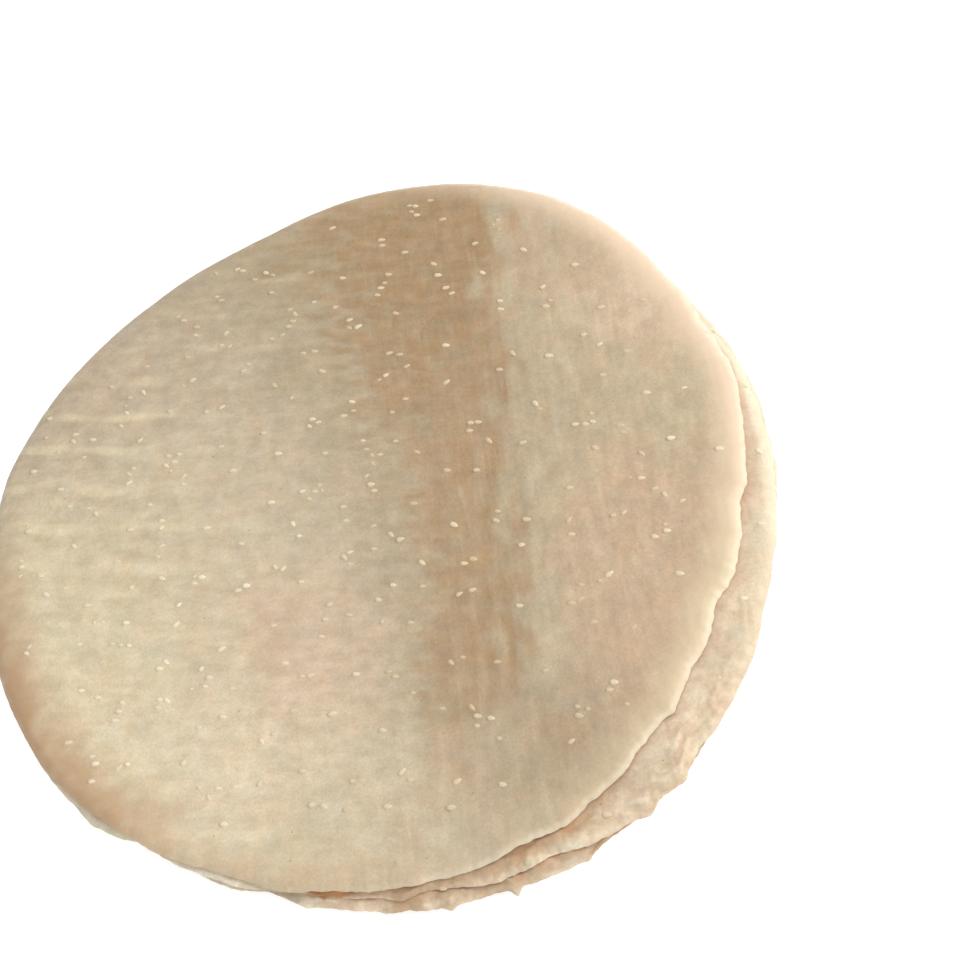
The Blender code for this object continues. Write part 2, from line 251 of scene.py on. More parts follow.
class Sheet:
    """One sheet's outline and the heights of its two faces."""

    def __init__(self, level, radius, offset, lobes, shift, scallops, lifts):
        self.level = level
        self.radius = radius
        self.offset = offset
        self.lobes = lobes
        self.shift = shift
        self.scallops = scallops
        self.lifts = lifts
        self.noise = Noise(100 + level)
        self.support = None
        self.above = ()

    def plain_rim(self, angle):
        """The CAD's outline: lobes and a frill."""
        share = 0.25 + 0.75 * smooth(0.5 + 0.75 * np.cos(angle - FRILL_MIDDLE))
        first = np.sin(FRILL_WAVES[0] * angle + self.shift)
        second = np.sin(FRILL_WAVES[1] * angle + 2.3 * self.shift)
        radius = self.radius + FRILL_HEIGHT * share * (0.6 * first + 0.4 * second)
        for waves, height, crest in self.lobes:
            radius = radius + height * np.cos(waves * (angle - math.radians(crest)))
        return radius

    def rim(self, angle):
        radius = self.plain_rim(angle)
        share = 0.30 + 0.70 * front(angle)
        for waves, height, row in RIM_WAVES:
            radius = radius + height * share * ring_noise(self.noise, angle, waves, row)
        for crest, height, half in self.scallops:
            radius = radius + height * np.exp(-from_crest(angle, crest, half) ** 1.6)
        return radius

    def at(self, angle, radius):
        """The place in plan at this direction and distance from the sheet's centre."""
        return self.offset[0] + radius * np.cos(angle), self.offset[1] + radius * np.sin(angle)

    def overhang(self, angle):
        dx = self.support.offset[0] - self.offset[0]
        dy = self.support.offset[1] - self.offset[1]
        reach = math.hypot(dx, dy) * np.cos(angle - math.atan2(dy, dx))
        return self.plain_rim(angle) - self.support.plain_rim(angle) - reach

    def bare(self, x, y):
        """How far a place lies outside the rims of all the sheets above it."""
        distance = np.full(np.shape(x), 1.0)
        for sheet in self.above:
            dx = x - sheet.offset[0]
            dy = y - sheet.offset[1]
            outside = np.hypot(dx, dy) - sheet.rim(np.arctan2(dy, dx))
            distance = np.minimum(distance, outside)
        return distance

    def underside(self, angle, radius):
        x, y = self.at(angle, radius)
        wave = 0.0
        for length, direction in zip(WARP_LENGTHS, WARP_DIRECTIONS):
            turn = math.radians(direction)
            along = x * math.cos(turn) + y * math.sin(turn)
            wave = wave + np.sin(2.0 * np.pi * along / length + direction) / len(WARP_LENGTHS)
        height = self.level * PITCH + WARP_HEIGHTS[self.level] * wave
        inside = np.maximum(self.rim(angle) - radius, 0.0)
        near = np.maximum(0.0, 1.0 - inside / 0.016) ** 2
        if self.level:
            share = 0.20 + 0.80 * front(angle)
            ruffle = 0.25 + 0.9 * ring_noise(self.noise, angle, 30, 3)
            ruffle = ruffle + 0.35 * ring_noise(self.noise, angle, 75, 4)
            lift = RUFFLE_HEIGHTS[self.level] * share * np.maximum(ruffle, 0.0)
            height = height + (lift - RIM_SINK) * near
        for crest, lift, half in self.lifts:
            height = height + lift * near * np.exp(-from_crest(angle, crest, half) ** 2)
        if self.support:
            over = np.maximum(0.0, self.overhang(angle))
            fall = DROOP_HEIGHT * smooth(over / DROOP_OVERHANG)
            height = height - fall * np.maximum(0.0, 1.0 - inside / (over + DROOP_START)) ** 2
        return height

    def thickness(self, angle, inside):
        """Full in the middle, rolled down to the thin rim."""
        width = ROLL_WIDTHS[self.level]
        if self.support:
            width = width * (1.0 + WIDE_ROLL * about(angle, 28.0, 40.0))
        share = np.clip(inside / width, 0.0, 1.0)
        return EDGE_THICKNESS + (THICKNESS - EDGE_THICKNESS) * (1.0 - (1.0 - share) ** 2)

    def imprint(self, x, y):
        """Rows and columns of the drying rack, broken into streaks: two parts, about -1 to 1."""
        parts = []
        toward_right = x * math.cos(ROW_TURN) + y * math.sin(ROW_TURN)
        from_rows = np.hypot((x - ROWS_PLACE[0]) / ROWS_HALF[0], (y - ROWS_PLACE[1]) / ROWS_HALF[1])
        for number, (turn, step, side, streaked) in enumerate(RIBS):
            along = x * math.cos(turn) + y * math.sin(turn)
            across = -x * math.sin(turn) + y * math.cos(turn)
            row = across / step + 0.30 * self.noise(along / 0.050 + 11.0, across / 0.040)
            crest = (0.5 + 0.5 * np.cos(2.0 * np.pi * row)) ** 1.6 - 0.36
            crest = crest + 0.35 * np.cos(4.0 * np.pi * row + 1.0)
            broken = 1.4 * smooth(0.45 + 0.60 * self.noise(along / 0.026, row + 30.0 * number))
            short = self.noise(along / 0.021 + 5.0, across / (0.30 * step) + 17.0 * number)
            strength = 0.15 + 0.85 * smooth(0.45 + side * toward_right / 0.17)
            if side < 0.0:
                strength = strength * (0.32 + 0.68 * smooth(1.5 - from_rows))
            parts.append(strength * (crest * broken + streaked * short))
        return parts

    def relief(self, x, y):
        rows, columns = self.imprint(x, y)
        lumps = 0.40 * self.noise(x / 0.020, y / 0.020) + 0.30 * self.noise(x / 0.009 + 7.0, y / 0.009)
        lumps = lumps + 0.12 * self.noise(x / 0.0042, y / 0.0042 + 3.0)
        return ROW_HEIGHT * rows + COLUMN_HEIGHT * columns + LUMP_HEIGHT * lumps

    def wrinkles(self, x, y, angle, inside):
        """Short folds along the rim of a lower sheet, about -1 to 1."""
        fold = 0.6 * self.noise(angle * self.radius / 0.009, inside / 0.0026 + 4.0)
        fold = fold + 0.6 * self.noise(x / 0.0050 + 8.0, y / 0.0038)
        return fold + 0.5 * self.noise(angle * self.radius / 0.0034 + 21.0, inside / 0.0019)

    def rim_relief(self, x, y, angle, inside):
        share = 0.30 + 0.70 * folded(angle)
        crust = 0.6 * self.noise(x / 0.0034 + 3.0, y / 0.0034)
        crust = crust + 0.5 * self.noise(x / 0.0019, y / 0.0019 + 9.0)
        height = CRUST_HEIGHT * crust * smooth(1.3 - inside / 0.0065)
        if self.above:
            lump = self.noise(x / 0.0095 + 31.0, y / 0.0078)
            height = height + LUMP_HEIGHT * 2.0 * lump * smooth(1.8 - inside / 0.014)
            fold = folded(angle) * self.wrinkles(x, y, angle, inside)
            height = height + WRINKLE_HEIGHT * fold * smooth(1.6 - inside / 0.011)
        return height * share

    def upper(self, angle, radius):
        x, y = self.at(angle, radius)
        inside = np.maximum(self.rim(angle) - radius, 0.0)
        rough = (0.25 + 0.75 * smooth(inside / 0.010)) * self.relief(x, y)
        rough = rough + smooth(inside / 0.0012) * self.rim_relief(x, y, angle, inside)
        rough = rough * smooth(1.0 + self.bare(x, y) / 0.003)
        return self.underside(angle, radius) + self.thickness(angle, inside) + rough

    def upper_at(self, x, y):
        dx = x - self.offset[0]
        dy = y - self.offset[1]
        return self.upper(np.arctan2(dy, dx), np.hypot(dx, dy))


def make_sheets():
    bottom = Sheet(0, BOTTOM_RADIUS, BOTTOM_OFFSET, BOTTOM_LOBES, 0.7, BOTTOM_SCALLOPS, ())
    third = Sheet(1, THIRD_RADIUS, THIRD_OFFSET, THIRD_LOBES, 2.1, THIRD_SCALLOPS, THIRD_LIFTS)
    second = Sheet(2, SECOND_RADIUS, SECOND_OFFSET, SECOND_LOBES, 4.0, SECOND_SCALLOPS, SECOND_LIFTS)
    top = Sheet(3, TOP_RADIUS, (0.0, 0.0), TOP_LOBES, 5.2, TOP_SCALLOPS, TOP_LIFTS)
    top.support = second
    second.above = (top,)
    third.above = (top, second)
    bottom.above = (top, second, third)
    return bottom, third, second, top


bottom_sheet, third_sheet, second_sheet, top_sheet = make_sheets()

# The CAD moves the stack so that its box is centred on the origin.
ROUND = np.linspace(0.0, 2.0 * np.pi, 1440, endpoint=False)
top_low, top_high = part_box("top_sheet")
CENTRE_X = top_low[0] - float(np.min(top_sheet.plain_rim(ROUND) * np.cos(ROUND)))
CENTRE_Y = top_high[1] - float(np.max(top_sheet.plain_rim(ROUND) * np.sin(ROUND)))


# ---- meshes
class MeshParts:
    """Vertices and faces in blocks, placed from the top sheet's centre."""

    def __init__(self):
        self.points = []
        self.faces = []
        self.marks = {}
        self.count = 0

    def add_points(self, x, y, z, **marks):
        start = self.count
        self.points.append(np.stack([x + CENTRE_X, y + CENTRE_Y, z], axis=1))
        self.count += len(x)
        for name, values in marks.items():
            self.marks.setdefault(name, []).append(np.broadcast_to(values, x.shape))
        return np.arange(start, self.count)

    def make(self, name, material):
        data = bpy.data.meshes.new(name)
        data.from_pydata(np.concatenate(self.points), [], [tuple(face) for face in self.faces])
        data.validate()
        for mark, blocks in self.marks.items():
            layer = data.attributes.new(mark, "FLOAT", "POINT")
            layer.data.foreach_set("value", np.concatenate(blocks).astype(np.float32))
        data.shade_smooth()
        data.materials.append(material)
        item = bpy.data.objects.new(name, data)
        bpy.context.scene.collection.objects.link(item)
        return item


def bridge(parts, inner, outer, upward):
    """Faces between two rings; the outer one has as many points or twice as many."""
    after = np.roll(inner, -1)
    if len(inner) == len(outer):
        faces = np.stack([inner, outer, np.roll(outer, -1), after], axis=1)
        parts.faces.extend((faces if upward else faces[:, ::-1]).tolist())
        return
    even = outer[0::2]
    odd = outer[1::2]
    later = np.roll(even, -1)
    for face in (
        np.stack([inner, even, odd], axis=1),
        np.stack([inner, odd, after], axis=1),
        np.stack([after, odd, later], axis=1),
    ):
        parts.faces.extend((face if upward else face[:, ::-1]).tolist())


def ring_places(fine_width, fine_step, coarse_step):
    """Distances in from the rim, closest together at the rim, with the ring's point count."""
    places = []
    inside = 0.0
    step = 0.00012
    while inside < TOP_RADIUS - 0.004:
        left = TOP_RADIUS - inside
        count = 720 if left > 0.100 else 360 if left > 0.045 else 180 if left > 0.020 else 90
        if inside < RIM_ZONE:
            count = RIM_POINTS
        places.append((inside, count))
        limit = 0.00060 if inside < RIM_ZONE else fine_step if inside < fine_width else coarse_step
        step = min(step * 1.35, limit)
        inside += step
    return places[::-1]


def thinned(places, every):
    """Some of the rings, and always the last one of each point count."""
    kept = []
    for number, place in enumerate(places):
        last = number + 1 == len(places) or places[number + 1][1] != place[1]
        if last or number % every == 0:
            kept.append(place)
    return kept


def build_face(parts, sheet, places, height, upward, marks):
    """One face of a sheet, ring by ring. Returns its outermost ring."""
    rings = []
    for inside, count in places:
        angle = np.arange(count) * (2.0 * np.pi / count)
        edge = sheet.rim(angle)
        radius = edge * (1.0 - inside / TOP_RADIUS)
        x, y = sheet.at(angle, radius)
        marked = marks(x, y, angle, edge - radius)
        rings.append(parts.add_points(x, y, height(angle, radius), **marked))
    zero = np.zeros(1)
    x, y = sheet.at(zero, zero)
    marked = marks(x, y, zero, np.full(1, sheet.radius))
    middle = parts.add_points(x, y, height(zero, zero), **marked)[0]
    first = rings[0]
    fan = np.stack([np.full(len(first), middle), first, np.roll(first, -1)], axis=1)
    parts.faces.extend((fan if upward else fan[:, ::-1]).tolist())
    for inner, outer in zip(rings, rings[1:]):
        bridge(parts, inner, outer, upward)
    return rings[-1]


def pale_line(angle, inside):
    """The thin pale line at a rim: a painted highlight on the paler thin edge, whitest at the right where
    the rim faces the light.
    """
    white = about(angle, 1.0, 9.0)
    line = smooth(1.15 - inside / (0.0024 + 0.0014 * white))
    return line * (0.62 + 0.38 * white) * (0.08 + 0.92 * lit(angle))


def pale_strip(angle, inside, width):
    """The soft pale strip along a rim, broad at the right: a painted highlight where the rolled rim faces
    the light.
    """
    strip = smooth(1.05 - inside / width) ** 1.3
    strip = strip * (0.30 + 0.70 * about(angle, -8.0, 54.0))
    return strip * (0.08 + 0.92 * lit(angle))


def brown_rim(angle, inside):
    """Brown rim at the left, and a fainter one at the front: in part toasted, in part painted shade where
    the rolled rim turns away from the light.
    """
    left = smooth(1.15 - inside / 0.024) * about(angle, -168.0, 28.0)
    front_left = smooth(1.10 - inside / 0.015) * about(angle, -120.0, 18.0, 1.4)
    return np.maximum(left, 0.35 * front_left)


def gap_shade(angle, bare):
    """Painted shade: the dark line in the gap beside the sheet above, broad and deep in one place at the
    front.
    """
    deep = about(angle, -88.0, 11.0)
    return smooth(1.0 - bare / (0.0020 + 0.0060 * deep)) * (0.45 + 0.55 * deep)


def frost(angle, inside):
    """Painted light on the rims of the lower sheets: at the lower left, where the sheet above shades them,
    and a painted highlight at the upper right.
    """
    left = smooth(1.3 - inside / 0.012) * about(angle, -142.0, 20.0)
    right = smooth(1.3 - inside / 0.0045) * about(angle, -14.0, 20.0)
    return np.maximum(left, 0.8 * right)


def build_sheet(name, sheet, places, material, seeds=()):
    """A closed sheet: upper face, rounded rim and a plainer underside."""

    def marks(x, y, angle, inside):
        rows, columns = sheet.imprint(x, y)
        folds = folded(angle) * sheet.wrinkles(x, y, angle, inside)
        even = 1.0 if sheet.support else 1.0 - 0.55 * folded(angle)
        return {
            "rows": rows,
            "columns": columns,
            "pale_line": pale_line(angle, inside) * even ** 2,
            "pale_strip": pale_strip(angle, inside, STRIP_WIDTHS[sheet.level]) * even,
            "brown_rim": brown_rim(angle, inside) * (1.0 if sheet.support else 0.15),
            # beside: painted shade next to the sheet above, with the sheet's own darker tan
            "beside": smooth(1.0 - sheet.bare(x, y) / 0.0085),
            "contact": gap_shade(angle, sheet.bare(x, y)),
            "folds": folds * smooth(1.7 - inside / 0.012),
            "frost": frost(angle, inside),
        }

    def upper(angle, radius):
        height = sheet.upper(angle, radius)
        x, y = sheet.at(angle, radius)
        for seed in seeds:
            away = (x - seed["x"]) ** 2 + (y - seed["y"]) ** 2
            near = away < SEED_REACH ** 2
            if near.any():
                mound = SEED_MOUND * seed["size"] * np.exp(-away[near] / SEED_MOUND_WIDTH ** 2)
                height[near] += mound
        return height

    def under(angle, radius):
        return sheet.underside(angle, radius)

    parts = MeshParts()
    top_edge = build_face(parts, sheet, places, upper, True, marks)
    low_edge = build_face(parts, sheet, thinned(places, UNDERSIDE_RINGS), under, False, marks)
    angle = np.arange(RIM_POINTS) * (2.0 * np.pi / RIM_POINTS)
    edge = sheet.rim(angle)
    low = under(angle, edge)
    high = upper(angle, edge)
    last = top_edge
    for share in (0.8, 0.5, 0.2):
        bulge = 0.5 * EDGE_THICKNESS * math.sqrt(1.0 - (2.0 * share - 1.0) ** 2)
        radius = edge + bulge
        x, y = sheet.at(angle, radius)
        marked = marks(x, y, angle, np.zeros(RIM_POINTS))
        ring = parts.add_points(x, y, low + share * (high - low), **marked)
        bridge(parts, last, ring, True)
        last = ring
    bridge(parts, last, low_edge, True)
    piece = parts.make(name, material)
    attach(piece, "root")
    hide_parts(name)
    return piece


# ---- seeds
def seed_turn(draw):
    """A seed's direction: most often about SEED_TURN."""
    return math.radians(SEED_TURN) + 0.3 * math.pi * draw.uniform(-1.0, 1.0) ** 3


def crescent_seeds(draw):
    """The CAD's seeds on the open strip of the second sheet."""
    seeds = []
    for step in range(CRESCENT_SEEDS):
        share = (step + 0.5) / CRESCENT_SEEDS
        angle = math.radians(CRESCENT_START + share * (CRESCENT_END - CRESCENT_START))
        width = -float(top_sheet.overhang(angle))
        radius = float(top_sheet.plain_rim(angle)) + width * draw.uniform(0.45, 0.62)
        x = radius * math.cos(angle)
        y = radius * math.sin(angle)
        seeds.append({"x": x, "y": y, "turn": seed_turn(draw), "size": draw.uniform(0.85, 1.0)})
    return seeds


def spiral_seeds(draw):
    """The CAD's seeds on the top sheet: a golden spiral, each seed moved a little."""
    seeds = []
    for step in range(SEED_COUNT):
        spread = math.sqrt((step + 0.5) / SEED_COUNT)
        angle = step * GOLDEN_ANGLE
        radius = spread * (float(top_sheet.plain_rim(angle)) - SEED_RIM_MARGIN)
        shift = draw.uniform(0.0, SEED_SHIFT)
        turn = draw.uniform(0.0, 2.0 * math.pi)
        x = radius * math.cos(angle) + shift * math.cos(turn)
        y = radius * math.sin(angle) + shift * math.sin(turn)
        seeds.append({"x": x, "y": y, "turn": seed_turn(draw), "size": draw.uniform(0.88, 1.12)})
    return seeds


def extra_seeds(seeds, draw):
    """Smaller seeds: half of them close to another one, the rest anywhere."""
    made = []
    while len(made) < EXTRA_SEEDS:
        if draw.random() < 0.5:
            mate = draw.choice(seeds + made)
            turn = draw.uniform(0.0, 2.0 * math.pi)
            apart = draw.uniform(SEED_APART, MATE_REACH)
            x = mate["x"] + apart * math.cos(turn)
            y = mate["y"] + apart * math.sin(turn)
        else:
            turn = draw.uniform(0.0, 2.0 * math.pi)
            reach = TOP_RADIUS * math.sqrt(draw.random())
            x = reach * math.cos(turn)
            y = reach * math.sin(turn)
            if x > draw.uniform(-0.10, 0.22):
                continue
        inside = float(top_sheet.rim(math.atan2(y, x))) - math.hypot(x, y)
        free = all(math.hypot(x - other["x"], y - other["y"]) > SEED_APART for other in seeds + made)
        if inside > EXTRA_RIM_MARGIN and free:
            made.append({"x": x, "y": y, "turn": seed_turn(draw), "size": draw.uniform(0.78, 1.02)})
    return made


def seed_form():
    """A sesame seed along X: a flattened drop, in a box one unit across."""
    around = 12
    along = 9
    points = [(-0.5, 0.0, 0.0)]
    for step in range(1, along):
        turn = math.pi * step / along
        x = -0.5 * math.cos(turn)
        wide = 0.5 * math.sin(turn) ** 0.9 * (1.0 - 0.55 * x)
        for corner in range(around):
            side = 2.0 * math.pi * corner / around
            points.append((x, wide * math.cos(side), wide * math.sin(side)))
    points.append((0.5, 0.0, 0.0))
    faces = []
    for corner in range(around):
        beside = (corner + 1) % around
        faces.append((0, 1 + corner, 1 + beside))
        for step in range(along - 2):
            near = 1 + step * around
            far = near + around
            faces.append((near + corner, far + corner, far + beside, near + beside))
        last = 1 + (along - 2) * around
        faces.append((last + corner, len(points) - 1, last + beside))
    return np.array(points), faces


def build_seeds(name, groups, material, draw):
    """All seeds as one mesh, each sunk a little into its sheet."""
    points, faces = seed_form()
    parts = MeshParts()
    for sheet, seeds in groups:
        for seed in seeds:
            cos_turn = math.cos(seed["turn"])
            sin_turn = math.sin(seed["turn"])
            sunk = draw.random()
            size = seed["size"]
            scaled = points * (SEED_LENGTH * size, SEED_WIDTH * size, SEED_HEIGHT * size)
            tip = draw.uniform(-0.12, 0.12)
            ground = float(sheet.upper_at(np.array([seed["x"]]), np.array([seed["y"]]))[0])
            rise = SEED_MOUND * size - SEED_HEIGHT * size * (0.22 + 0.20 * sunk ** 1.5)
            start = parts.count
            parts.add_points(
                scaled[:, 0] * cos_turn - scaled[:, 1] * sin_turn + seed["x"],
                scaled[:, 0] * sin_turn + scaled[:, 1] * cos_turn + seed["y"],
                scaled[:, 2] + scaled[:, 0] * tip + ground + rise,
                tint=draw.random(),
                covered=sunk,
            )
            parts.faces.extend([tuple(start + corner for corner in face) for face in faces])
    piece = parts.make(name, material)
    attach(piece, "root")
    return piece


# ---- materials
class Tree:
    """Short calls for the few kinds of nodes used below."""

    def __init__(self, name):
        self.material = bpy.data.materials.new(name)
        self.material.use_nodes = True
        self.tree = self.material.node_tree
        self.shader = self.tree.nodes["Principled BSDF"]

    def node(self, kind, **settings):
        made = self.tree.nodes.new(kind)
        for key, value in settings.items():
            setattr(made, key, value)
        return made

    def link(self, out, into):
        self.tree.links.new(out, into)

    def feed(self, socket, value):
        if isinstance(value, bpy.types.NodeSocket):
            self.link(value, socket)
        else:
            socket.default_value = value

    def fill(self, values):
        """Gives the shader's sockets a value or a link."""
        for name, value in values.items():
            self.feed(self.shader.inputs[name], value)

    def place(self):
        return self.node("ShaderNodeTexCoord").outputs["Object"]

    def mark(self, name):
        return self.node("ShaderNodeAttribute", attribute_name=name).outputs["Fac"]

    def math(self, operation, *values):
        made = self.node("ShaderNodeMath", operation=operation)
        for socket, value in zip(made.inputs, values):
            self.feed(socket, value)
        return made.outputs[0]

    def times(self, first, *others):
        for other in others:
            first = self.math("MULTIPLY", first, other)
        return first

    def shift(self, vector, other, amount):
        """vector plus amount times other, a colour about 0.5."""
        centred = self.node("ShaderNodeVectorMath", operation="SUBTRACT")
        self.feed(centred.inputs[0], other)
        centred.inputs[1].default_value = (0.5, 0.5, 0.5)
        added = self.node("ShaderNodeVectorMath", operation="MULTIPLY_ADD")
        self.feed(added.inputs[0], centred.outputs[0])
        added.inputs[1].default_value = (amount, amount, 0.0)
        self.feed(added.inputs[2], vector)
        return added.outputs[0]

    def frame(self, vector, middle, half, turn=0.0):
        """vector measured from middle, along turned axes, in half sizes."""
        made = self.node("ShaderNodeMapping", vector_type="TEXTURE")
        self.feed(made.inputs["Vector"], vector)
        made.inputs["Location"].default_value = (middle[0] + CENTRE_X, middle[1] + CENTRE_Y, 0.0)
        made.inputs["Rotation"].default_value = (0.0, 0.0, math.radians(turn))
        made.inputs["Scale"].default_value = (half[0], half[1], 1.0)
        return made.outputs[0]

    def noise(self, vector, scale, detail=2.0, roughness=0.5, colour=False):
        made = self.node("ShaderNodeTexNoise", noise_dimensions="3D")
        self.feed(made.inputs["Vector"], vector)
        made.inputs["Scale"].default_value = scale
        made.inputs["Detail"].default_value = detail
        made.inputs["Roughness"].default_value = roughness
        return made.outputs["Color" if colour else "Fac"]

    def stretched(self, vector, half, turn, detail=2.0, roughness=0.5):
        """Noise drawn out along a direction, with lumps of this size."""
        return self.noise(self.frame(vector, (0.0, 0.0), half, turn), 1.0, detail, roughness)

    def along_rack(self, vector):
        """How far right and back, along the turned rack."""
        axes = self.node("ShaderNodeSeparateXYZ")
        self.link(self.frame(vector, (0.0, 0.0), (1.0, 1.0), FRAME_TURN), axes.inputs[0])
        return axes.outputs[0], axes.outputs[1]

    def patch(self, vector, middle, half, turn=0.0, hard=0.75):
        """A soft oval, 1 in its middle and 0 outside."""
        made = self.node("ShaderNodeTexGradient", gradient_type="SPHERICAL")
        self.link(self.frame(vector, middle, half, turn), made.inputs["Vector"])
        return self.ramp(made.outputs["Fac"], 0.0, hard)

    def ramp(self, value, low, high, floor=0.0, top=1.0):
        made = self.node("ShaderNodeMapRange", interpolation_type="SMOOTHSTEP")
        self.feed(made.inputs["Value"], value)
        made.inputs["From Min"].default_value = low
        made.inputs["From Max"].default_value = high
        made.inputs["To Min"].default_value = floor
        made.inputs["To Max"].default_value = top
        return made.outputs["Result"]

    def mix(self, share, first, second, blend="MIX"):
        made = self.node("ShaderNodeMix", data_type="RGBA", blend_type=blend)
        self.feed(made.inputs[0], share)
        self.feed(made.inputs[6], first)
        self.feed(made.inputs[7], second)
        return made.outputs[2]

    def mottle(self, colour, pattern, low, high, darker, lighter):
        """colour times one factor where the pattern is low and another where it is high."""
        factor = self.mix(self.ramp(pattern, low, high), (*darker, 1.0), (*lighter, 1.0))
        return self.mix(1.0, colour, factor, "MULTIPLY")

    def spots(self, colour, vector, table, hard):
        """Lays the table's soft ovals on a colour, in order."""
        for middle, half, turn, share, tone in table:
            spot = self.patch(vector, middle, half, turn, hard)
            colour = self.mix(self.times(spot, share), colour, tone)
        return colour

    def bump(self, height, strength, distance, normal=None):
        made = self.node("ShaderNodeBump")
        made.inputs["Strength"].default_value = strength
        made.inputs["Distance"].default_value = distance
        self.feed(made.inputs["Height"], height)
        if normal:
            self.link(normal, made.inputs["Normal"])
        return made.outputs["Normal"]


GREIGE = seen(204, 186, 160)
CREAM = seen(234, 219, 185)
OLIVE = seen(179, 161, 129)
BROWN = seen(180, 152, 118)
OCHRE = seen(172, 142, 104)
# painted shade in the troughs of the lower rims' folds
CARAMEL = seen(210, 177, 142)
# painted light on the lower rims
RIM_LIGHT_WHITE = seen(254, 248, 222)
# painted shade in the gaps under a rim above, brown, and rust in patches
GAP_SHADE_BROWN = seen(192, 160, 126)
GAP_SHADE_RUST = seen(194, 146, 106)
EMBER = seen(186, 134, 84)
SHADE = seen(184, 166, 138)
BLUSH = seen(222, 194, 167)
SILVER = seen(212, 198, 170)
PEWTER = seen(203, 187, 158)
SAGE = seen(197, 179, 149)
ROSE = seen(203, 177, 148)
# painted highlights along the rims
PALE = seen(254, 241, 216)
PEACH = seen(243, 216, 187)
STRAW = seen(232, 214, 178)
# painted light at the top sheet's lower left
GLOW = seen(252, 234, 206)
# painted shade beside the sheet above, with the sheet's own darker tan
TAN = seen(204, 171, 144)
# the left rim's brown: toasted, and painted shade where the rim turns from the light
RIM_BROWN_AND_SHADE = seen(202, 162, 122)
SPECK = seen(128, 98, 66)
# A sheet's light and dark blotches, and the share of its painted rim highlight
SECOND_TONES = (seen(236, 220, 191), seen(221, 199, 171), 0.45)
THIRD_TONES = (seen(238, 223, 195), seen(221, 202, 173), 0.50)
BOTTOM_TONES = (seen(236, 220, 194), seen(216, 198, 172), 0.40)
# Seed colours, darkest and lightest: in painted shade, in painted light, and under the skin from painted
# shade to painted light
SEED_SHADED = (seen(214, 193, 158), seen(234, 217, 185))
SEED_LIT = (seen(238, 223, 190), seen(252, 241, 213))
SEED_SKIN = (seen(206, 186, 154), seen(236, 220, 186))

FRAME_TURN = -27.0            # the top sheet's colour zones lie along the drying rack
BAND_TURN = -16.0             # and the streaks of its brown band lean a little from it
TOP_SPREAD = 0.33             # how soft the small mottling is
LOWER_SPREAD = 0.22
TOP_RIM_SHARE = 0.90

# Soft spots in their order: (place, half size, turn, share, colour); the SHADE spot is painted shade, the
# GLOW spot painted light
TOP_SPOTS = (
    ((0.1010, 0.0590), (0.022, 0.052), FRAME_TURN, 0.35, SAGE),
    ((0.0502, -0.1042), (0.013, 0.062), BAND_TURN, 0.55, PEWTER),
    ((0.140, 0.046), (0.036, 0.085), 20.0, 0.60, BLUSH),
    ((-0.051, -0.055), (0.045, 0.060), 30.0, 0.60, BLUSH),
    ((0.137, 0.062), (0.032, 0.040), FRAME_TURN, 0.40, OLIVE),
    ((0.044, -0.142), (0.043, 0.052), -20.0, 0.75, SHADE),
    ((0.040, -0.146), (0.018, 0.015), -20.0, 0.45, BROWN),
    ((-0.100, -0.088), (0.075, 0.055), FRAME_TURN, 0.30, GLOW),
)
# Brown spots on the lower rims at the front: painted shade in the gaps under the sheet above
RIM_SPOTS = (
    ((-0.010, -0.167), (0.0480, 0.0110), -4.0, 0.60, GAP_SHADE_BROWN),
    ((-0.0655, -0.1550), (0.0125, 0.0036), -23.0, 1.00, EMBER),
    ((-0.0410, -0.1710), (0.0075, 0.0080), -14.0, 0.80, GAP_SHADE_BROWN),
    ((-0.086, -0.148), (0.0120, 0.0040), -30.0, 0.60, OLIVE),
)


def mottled(look, colour, place, cloud, spread):
    """Cloudy, rosy, crumbly and grainy mottling, from coarse to fine."""
    colour = look.mottle(colour, cloud, 0.28, 0.72, (0.955, 0.955, 0.945), (1.05, 1.05, 1.05))
    blush = look.noise(look.frame(place, (3.0, 1.0), (1.0, 1.0)), 62.0, 3.0, 0.6)
    colour = look.mottle(colour, blush, 0.30, 0.72, (0.990, 1.010, 1.010), (1.020, 0.982, 0.972))
    crumb = look.noise(place, 150.0, 3.0, 0.6)
    colour = look.mottle(colour, crumb, 0.5 - spread, 0.5 + spread, (0.90, 0.89, 0.86), (1.09, 1.09, 1.10))
    grain = look.noise(place, 950.0, 2.0, 0.6)
    colour = look.mottle(colour, grain, 0.25, 0.75, (0.93, 0.93, 0.93), (1.07, 1.08, 1.10))
    tint = look.noise(place, 88.0)
    return look.mottle(colour, tint, 0.30, 0.70, (1.012, 0.996, 0.972), (0.988, 1.003, 1.028))


def speckled(look, colour, place):
    """A few small dark specks, one to a cell."""
    cells = look.node("ShaderNodeTexVoronoi", voronoi_dimensions="2D", feature="F1")
    look.link(place, cells.inputs["Vector"])
    cells.inputs["Scale"].default_value = 42.0
    split = look.node("ShaderNodeSeparateColor")
    look.link(cells.outputs["Color"], split.inputs[0])
    chosen = look.math("GREATER_THAN", split.outputs[0], 0.66)
    speck = look.times(look.ramp(cells.outputs["Distance"], 0.019, 0.009), chosen)
    return look.mix(look.times(speck, 0.5), colour, SPECK)


